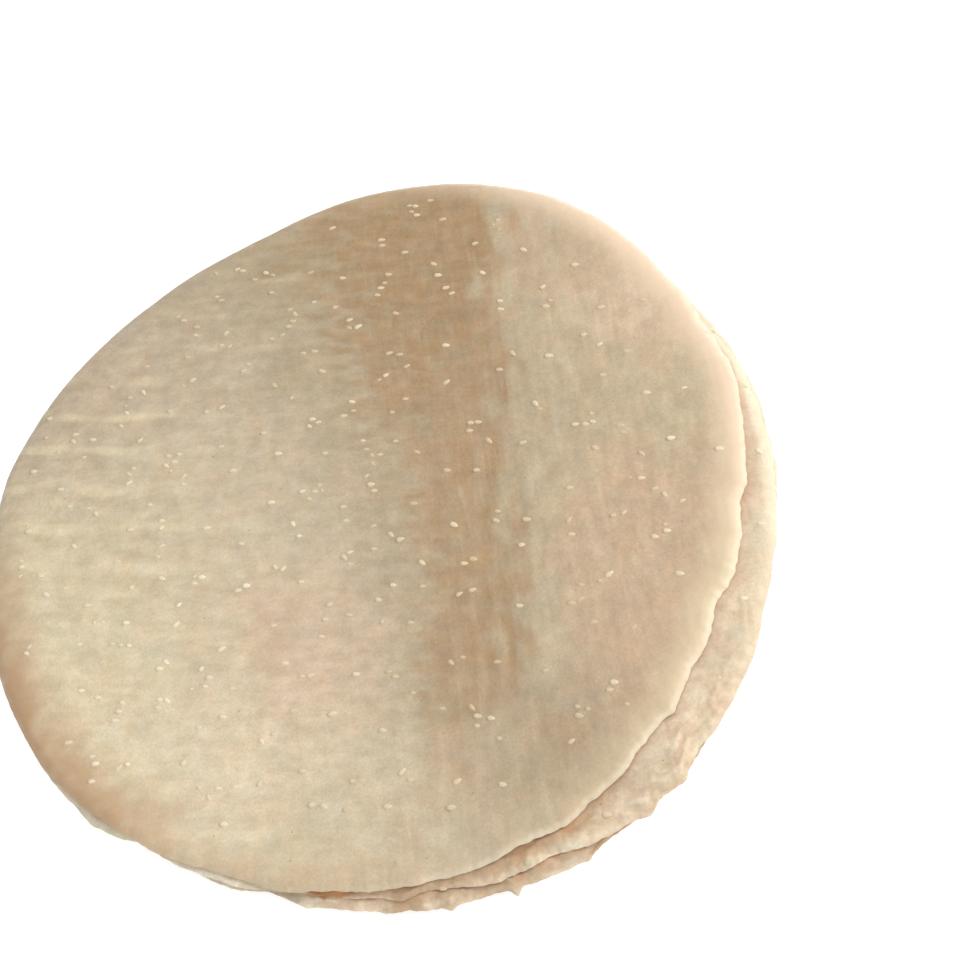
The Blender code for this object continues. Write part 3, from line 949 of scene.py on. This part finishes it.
def finish_sheet(look, colour, place, rim_share, spread):
    """What every sheet shares: streaks, mottling, specks, rims with painted highlights and a brown rim
    partly in painted shade, gloss and grain. The streaks carry painted light and shade as well.
    """
    rows = look.mark("rows")
    columns = look.mark("columns")
    # The rack's crests are lighter and its troughs darker: in part the imprint's own tone, in part painted
    # light and shade of the relief.
    colour = look.mix(look.ramp(rows, 0.00, 0.9, 0.0, 0.80), colour, CREAM)
    colour = look.mix(look.ramp(rows, -0.1, -0.9, 0.0, 0.22), colour, OLIVE)
    colour = look.mix(look.ramp(columns, 0.15, 1.2, 0.0, 0.42), colour, SAGE)
    colour = look.mix(look.ramp(columns, -0.1, -0.9, 0.0, 0.20), colour, BROWN)
    cloud = look.noise(place, 60.0, 3.0, 0.6)
    colour = mottled(look, colour, place, cloud, spread)
    colour = speckled(look, colour, place)

    # Painted highlights along the rims: straw at the front, peach at the back, a whiter line at the very
    # edge.
    back = look.along_rack(place)[1]
    highlight_tone = look.mix(look.ramp(back, -0.050, 0.040), STRAW, PEACH)
    colour = look.mix(look.times(look.mark("pale_strip"), rim_share), colour, highlight_tone)
    uneven = look.ramp(look.noise(place, 260.0), 0.36, 0.60, 0.62, 1.0)
    colour = look.mix(look.times(look.mark("pale_line"), uneven, rim_share), colour, PALE)
    # The left rim's brown: toasted, and painted shade where the rim turns from the light.
    torn = look.ramp(look.noise(place, 70.0), 0.30, 0.60, 0.62, 1.0)
    colour = look.mix(look.times(look.mark("brown_rim"), torn, 0.88), colour, RIM_BROWN_AND_SHADE)

    fine = look.noise(place, 1500.0, 3.0, 0.6)
    pebbled = look.bump(look.noise(place, 480.0), 0.35, 0.00025)
    look.fill({
        "Base Color": colour,
        "Normal": look.bump(fine, 0.20, 0.00008, pebbled),
        "Roughness": look.ramp(cloud, 0.3, 0.7, 0.50, 0.62),
        "Specular IOR Level": 0.32,
        "Subsurface Weight": 0.10,
        "Subsurface Radius": (0.0020, 0.0012, 0.0007),
        "Subsurface Scale": 1.0,
    })
    return look.material


def top_ground(look, right, back):
    """Cream at the lower left and in the low middle, olive at the back: the sheet's own tones with painted
    light at the lower left and painted shade at the back.
    """
    near_left = look.times(look.ramp(back, 0.078, -0.080), look.ramp(right, 0.030, -0.120))
    colour = look.mix(look.times(near_left, 0.88), GREIGE, CREAM)
    low_middle = look.times(look.ramp(back, -0.040, -0.150), look.ramp(right, 0.090, -0.005))
    colour = look.mix(look.times(low_middle, 0.45), colour, CREAM)
    far_back = look.ramp(back, 0.040, 0.155, 0.0, 0.80)
    far_back = look.times(far_back, look.ramp(right, -0.130, -0.010, 0.20, 1.0))
    return look.mix(far_back, colour, OLIVE)


def brown_band(look, colour, place, right, back):
    """The brown band, in part the sheet's own brown and in part painted shade, which leans: across it is 0
    in its middle and 1 at its right edge.
    """
    far = look.math("MAXIMUM", look.math("ADD", back, 0.030), 0.0)
    middle = look.math("MULTIPLY_ADD", far, -0.30, 0.061)
    half = look.math("MULTIPLY_ADD", far, 0.17, 0.0155)
    across = look.math("DIVIDE", look.math("SUBTRACT", right, middle), half)

    # Streaks and tongues run along the band, dashes across it, and they fray its edges.
    streaks = look.stretched(place, (0.0050, 0.034), BAND_TURN)
    dashes = look.stretched(place, (0.018, 0.0060), -31.0)
    tongues = look.stretched(place, (0.0095, 0.040), BAND_TURN, 1.0, 0.4)
    near_edge = look.math("ADD", across, look.math("MULTIPLY_ADD", dashes, 3.0, -1.5))
    across = look.math("ADD", across, look.math("MULTIPLY_ADD", tongues, 2.0, -1.0))

    colour = look.mix(look.ramp(across, 0.7, 1.4), colour, SAGE)
    silver = look.times(look.ramp(across, 1.1, 1.5), look.ramp(right, 0.115, 0.085))
    silver = look.times(silver, look.ramp(streaks, 0.48, 0.66), 0.32)
    colour = look.mix(silver, colour, SILVER)
    flank = look.times(look.ramp(across, -4.0, -1.5), look.ramp(across, 2.3, 0.9))
    flank = look.times(flank, look.ramp(back, -0.135, -0.065), 0.56)
    colour = look.mix(flank, colour, OLIVE)

    # The band's brown, with painted shade in it.
    band_brown_and_shade = look.mix(look.ramp(back, 0.030, 0.080), BROWN, OCHRE)
    ridge = look.times(look.ramp(across, 0.20, 0.55), look.ramp(streaks, 0.58, 0.42))
    ridge = look.times(ridge, look.ramp(back, 0.090, 0.050), 0.5)
    band_brown_and_shade = look.mix(ridge, band_brown_and_shade, OCHRE)
    patches = look.noise(place, 120.0)
    band_brown_and_shade = look.mottle(band_brown_and_shade, patches, 0.35, 0.65, (1.03, 0.99, 0.93), (0.98, 1.01, 1.06))

    threads = look.stretched(place, (0.0026, 0.017), BAND_TURN)
    torn = look.ramp(streaks, 0.72, 0.45, 0.74, 1.0)
    torn = look.times(torn, look.ramp(dashes, 0.72, 0.42, 0.80, 1.0))
    torn = look.times(torn, look.ramp(threads, 0.68, 0.50, 0.72, 1.0))
    band = look.times(look.ramp(near_edge, -1.8, -0.5), look.ramp(across, 1.35, 0.70))
    band = look.times(band, look.ramp(back, -0.156, -0.070))
    return look.mix(look.times(band, torn), colour, band_brown_and_shade)


def top_material():
    """The top sheet: cream at the lower left, a brown patchy band, sage and rose at the right. The cream
    holds painted light and the band painted shade.
    """
    look = Tree("rice_sheet_top")
    place = look.place()
    drift = look.shift(place, look.noise(place, 20.0, colour=True), 0.036)
    drift = look.shift(drift, look.noise(place, 85.0, colour=True), 0.015)
    right, back = look.along_rack(drift)
    colour = top_ground(look, right, back)
    colour = brown_band(look, colour, place, right, back)
    rose = look.times(look.ramp(right, 0.078, 0.114), look.ramp(back, 0.030, -0.010))
    colour = look.mix(rose, colour, ROSE)
    colour = look.spots(colour, drift, TOP_SPOTS, 0.75)

    # The cloth that the sheet dried on: weft shows at the left, warp at the right.
    weft = look.stretched(place, (0.017, 0.0052), FRAME_TURN, 3.0, 0.55)
    warp = look.stretched(place, (0.0052, 0.020), FRAME_TURN + 9.0, 3.0, 0.55)
    weave = look.mix(look.ramp(right, 0.020, 0.085), weft, warp)
    colour = look.mottle(colour, weave, 0.34, 0.66, (0.950, 0.945, 0.935), (1.045, 1.050, 1.055))
    return finish_sheet(look, colour, place, TOP_RIM_SHARE, TOP_SPREAD)


def lower_material(name, light, dark, rim_share):
    """A lower sheet: blotches, and darker right beside the sheet that covers it, painted shade with its
    own darker tan; painted shade in the gaps under it and painted light on its rims and fold crests.
    """
    look = Tree(name)
    place = look.place()
    drift = look.shift(place, look.noise(place, 60.0, 3.0, 0.6, colour=True), 0.020)
    colour = look.mix(look.ramp(look.noise(drift, 45.0), 0.35, 0.65), dark, light)
    blotches = look.ramp(look.noise(place, 110.0, 3.0, 0.6), 0.30, 0.65, 0.45, 1.0)
    # Darker right beside the sheet above: painted shade, with the sheet's own darker tan.
    colour = look.mix(look.times(look.mark("beside"), blotches, 0.72), colour, TAN)
    folds = look.mark("folds")
    # Painted light on the crests of the rim folds, painted shade in their troughs.
    colour = look.mix(look.ramp(folds, 0.05, 0.60, 0.0, 0.70), colour, light)
    colour = look.mix(look.ramp(folds, -0.08, -0.60, 0.0, 0.40), colour, CARAMEL)
    # Painted light whitens the rims at the lower left, and a painted highlight the upper right.
    colour = look.mix(look.times(look.mark("frost"), 0.85), colour, RIM_LIGHT_WHITE)
    # Painted shade in the gaps under the sheet above, rust-brown in patches.
    contact = look.mark("contact")
    colour = look.mix(look.times(contact, 0.85), colour, GAP_SHADE_BROWN)
    patchy = look.ramp(look.noise(place, 95.0), 0.50, 0.64, 0.0, 0.80)
    colour = look.mix(look.times(contact, patchy), colour, GAP_SHADE_RUST)
    near = look.shift(place, look.noise(place, 240.0, colour=True), 0.006)
    colour = look.spots(colour, near, RIM_SPOTS, 0.5)
    return finish_sheet(look, colour, place, rim_share, LOWER_SPREAD)


def seed_material():
    """Sesame seeds, painted lighter at the lower left and at the right to go with the painted light on the
    sheet, some under the sheet's skin.
    """
    look = Tree("sesame_seed")
    place = look.place()
    right, back = look.along_rack(place)
    # Painted light: the seeds are lighter at the lower left and at the right.
    light = look.times(look.ramp(back, 0.110, -0.060), look.ramp(right, 0.040, -0.060))
    light = look.math("MAXIMUM", light, look.ramp(right, 0.125, 0.155, 0.0, 0.9))
    tint = look.mark("tint")
    colour = look.mix(light, look.mix(tint, *SEED_SHADED), look.mix(tint, *SEED_LIT))
    skin = look.mix(light, *SEED_SKIN)
    colour = look.mix(look.ramp(look.mark("covered"), 0.3, 1.0, 0.0, 0.70), colour, skin)
    look.fill({
        "Base Color": colour,
        "Normal": look.bump(look.noise(place, 1800.0), 0.20, 0.0001),
        "Roughness": 0.45,
        "Specular IOR Level": 0.35,
        "Subsurface Weight": 0.15,
        "Subsurface Radius": (0.0015, 0.0010, 0.0006),
        "Subsurface Scale": 1.0,
    })
    return look.material


# ---- stage, lights and camera
def build_floor():
    data = bpy.data.meshes.new("floor")
    corners = [(x * FLOOR_HALF, y * FLOOR_HALF, 0.0) for x, y in ((-1, -1), (1, -1), (1, 1), (-1, 1))]
    data.from_pydata(corners, [], [(0, 1, 2, 3)])
    floor = bpy.data.objects.new("floor", data)
    bpy.context.scene.collection.objects.link(floor)
    floor.location.z = -FLOOR_DROP
    look = Tree("floor")
    look.fill({
        "Base Color": FLOOR_COLOUR,
        "Roughness": 0.9,
        "Specular IOR Level": 0.1,
        "Emission Color": (1.0, 1.0, 1.0, 1.0),
        "Emission Strength": FLOOR_GLOW,
    })
    data.materials.append(look.material)


def area_light(name, azimuth, elevation, distance, size, power, colour):
    """A square light that looks at the stack. Azimuth 0 is in front, 90 at the right."""
    light = bpy.data.lights.new(name, "AREA")
    light.shape = "SQUARE"
    light.size = size
    light.energy = power
    light.color = colour
    item = bpy.data.objects.new(name, light)
    turn = math.radians(azimuth)
    lift = math.radians(elevation)
    away = Vector((math.sin(turn) * math.cos(lift), -math.cos(turn) * math.cos(lift), math.sin(lift)))
    item.location = distance * away
    item.rotation_euler = (-away).to_track_quat("-Z", "Y").to_euler()
    bpy.context.scene.collection.objects.link(item)


def build_lights():
    for settings in LIGHTS:
        area_light(*settings)
    world = bpy.data.worlds.new("studio")
    world.use_nodes = True
    sky = world.node_tree.nodes["Background"]
    sky.inputs["Color"].default_value = SKY_COLOUR
    sky.inputs["Strength"].default_value = SKY_STRENGTH
    bpy.context.scene.world = world
    bpy.context.scene.view_settings.view_transform = "Standard"


def build_camera():
    forward = Vector((0.0, math.cos(CAMERA_ELEVATION), -math.sin(CAMERA_ELEVATION)))
    level_right = Vector((1.0, 0.0, 0.0))
    level_down = forward.cross(level_right)
    right = math.cos(CAMERA_ROLL) * level_right - math.sin(CAMERA_ROLL) * level_down
    down = math.sin(CAMERA_ROLL) * level_right + math.cos(CAMERA_ROLL) * level_down
    centre = Vector((CENTRE_X, CENTRE_Y, 3.0 * PITCH + THICKNESS))
    place = centre - CENTRE_RIGHT * right - CENTRE_DOWN * down - CENTRE_AHEAD * forward
    data = bpy.data.cameras.new("camera")
    data.lens = LENS_MM
    data.sensor_width = SENSOR_MM
    camera = bpy.data.objects.new("camera", data)
    turned = Matrix((right, -down, -forward)).transposed().to_4x4()
    camera.matrix_world = Matrix.Translation(place) @ turned
    bpy.context.scene.collection.objects.link(camera)
    bpy.context.scene.camera = camera


def main():
    top_look = top_material()
    second_look = lower_material("rice_sheet_second", *SECOND_TONES)
    third_look = lower_material("rice_sheet_third", *THIRD_TONES)
    bottom_look = lower_material("rice_sheet_bottom", *BOTTOM_TONES)

    draw = random.Random(SEED_RANDOM)
    on_second = crescent_seeds(draw)
    on_top = spiral_seeds(draw)
    more = random.Random(EXTRA_RANDOM)
    on_top += extra_seeds(on_top, more)

    full = ring_places(TOP_RADIUS, FACE_STEP, FACE_STEP)
    fringe = ring_places(FRINGE_WIDTH, FRINGE_STEP, HIDDEN_STEP)
    build_sheet("top_sheet", top_sheet, full, top_look, on_top)
    build_sheet("second_sheet", second_sheet, fringe, second_look, on_second)
    build_sheet("third_sheet", third_sheet, fringe, third_look)
    build_sheet("bottom_sheet", bottom_sheet, fringe, bottom_look)
    build_seeds("sesame_seeds", ((top_sheet, on_top), (second_sheet, on_second)), seed_material(), more)

    build_floor()
    build_lights()
    build_camera()


main()
